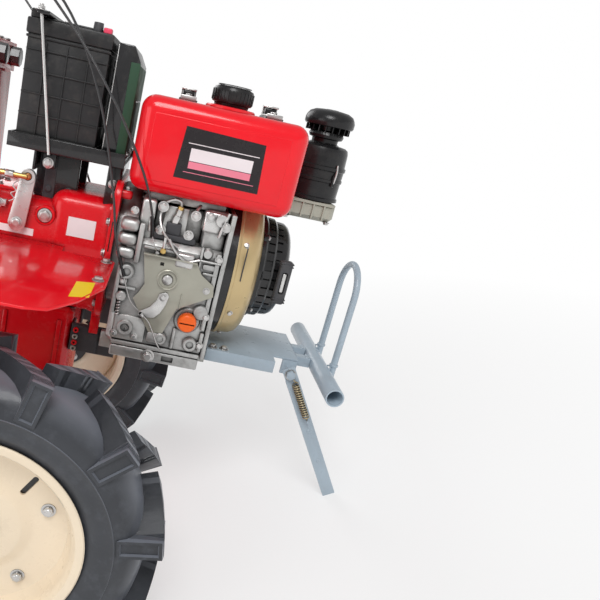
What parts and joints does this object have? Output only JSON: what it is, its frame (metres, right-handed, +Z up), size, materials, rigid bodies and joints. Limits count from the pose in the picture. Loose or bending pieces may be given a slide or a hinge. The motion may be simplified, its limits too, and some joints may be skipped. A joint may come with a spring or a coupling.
{
  "type": "walking tractor",
  "caption": "Walk-behind two-wheel farm tractor with a front diesel engine, red gearbox and fenders, lugged tyres, bumper and fold-down front stand.",
  "frame": {"origin": "on the floor, below the middle of the machine's length and width", "axes": "+X towards the engine and bumper, +Y to the driver's left, +Z up; the machine is stored nose-down on its front stand, as it parks"},
  "size_m": [1.2936, 0.87, 1.4278],
  "materials": {
    "red_paint": "glossy",
    "cream_paint": "satin",
    "grey_paint": "satin",
    "gold_paint": "satin",
    "cast_alloy": "sand-cast",
    "olive_plate": "satin",
    "orange_plastic": "satin",
    "zinc_steel": "zinc plated",
    "black_plastic": "satin",
    "black_paint": "satin",
    "dark_paint": "matt",
    "tyre_rubber": "matt"
  },
  "bodies": {
    "chassis": {"gearbox_case": "red_paint", "clutch_housing": "red_paint", "axle_housing_right": "red_paint", "axle_housing_left": "red_paint", "fender_right": "red_paint", "fender_left": "red_paint", "pto_cover": "red_paint", "handlebar_column": "red_paint", "fuel_tank": "red_paint", "front_plate": "grey_paint", "bumper_tube": "grey_paint", "bumper_hoop": "grey_paint", "stand_bracket": "grey_paint", "flywheel_shroud": "gold_paint", "crankcase": "cast_alloy", "cylinder_barrel": "cast_alloy", "cylinder_head": "cast_alloy", "control_plate": "olive_plate", "air_cleaner_base": "olive_plate", "oil_filler_cap": "orange_plastic", "shift_arm": "zinc_steel", "shift_rod": "zinc_steel", "gear_lever": "zinc_steel", "governor_lever": "zinc_steel", "hitch_pin": "zinc_steel", "tank_clamp_rear": "zinc_steel", "tank_clamp_front": "zinc_steel", "battery_hold_down": "zinc_steel", "battery": "black_plastic", "control_box": "black_plastic", "air_cleaner": "black_plastic", "pre_cleaner": "black_plastic", "tank_cap": "black_plastic", "recoil_handle": "black_plastic", "grip_right": "black_plastic", "grip_left": "black_plastic", "switch_console": "black_plastic", "throttle_cable": "black_plastic", "stop_cable": "black_plastic", "clutch_cable": "black_plastic", "recoil_starter": "black_paint", "muffler": "black_paint", "battery_bracket": "black_paint", "battery_tray": "black_paint", "rear_hitch": "black_paint", "handlebar_right": "black_paint", "handlebar_left": "black_paint", "clutch_lever": "black_paint", "throttle_lever": "black_paint", "frame_rail_right": "dark_paint", "frame_rail_left": "dark_paint"},
    "wheel_right": {"rim_right": "cream_paint", "tyre_right": "tyre_rubber", "wheel_hub_right": "dark_paint"},
    "wheel_left": {"rim_left": "cream_paint", "tyre_left": "tyre_rubber", "wheel_hub_left": "dark_paint"},
    "stand": {"stand_leg": "grey_paint", "stand_spring": "zinc_steel"}
  },
  "joints": [
    {"name": "wheel_right_spin", "type": "hinge", "parent": "chassis", "child": "wheel_right", "pos_m": [-0.08699, -0.367, 0.286], "axis": [0, 1, 0], "continuous": true},
    {"name": "wheel_left_spin", "type": "hinge", "parent": "chassis", "child": "wheel_left", "pos_m": [-0.08699, 0.367, 0.286], "axis": [0, 1, 0], "continuous": true},
    {"name": "stand_fold", "type": "hinge", "parent": "chassis", "child": "stand", "pos_m": [0.44494, 0, 0.28245], "axis": [0, 1, 0], "range_deg": [0, 86]}
  ]
}
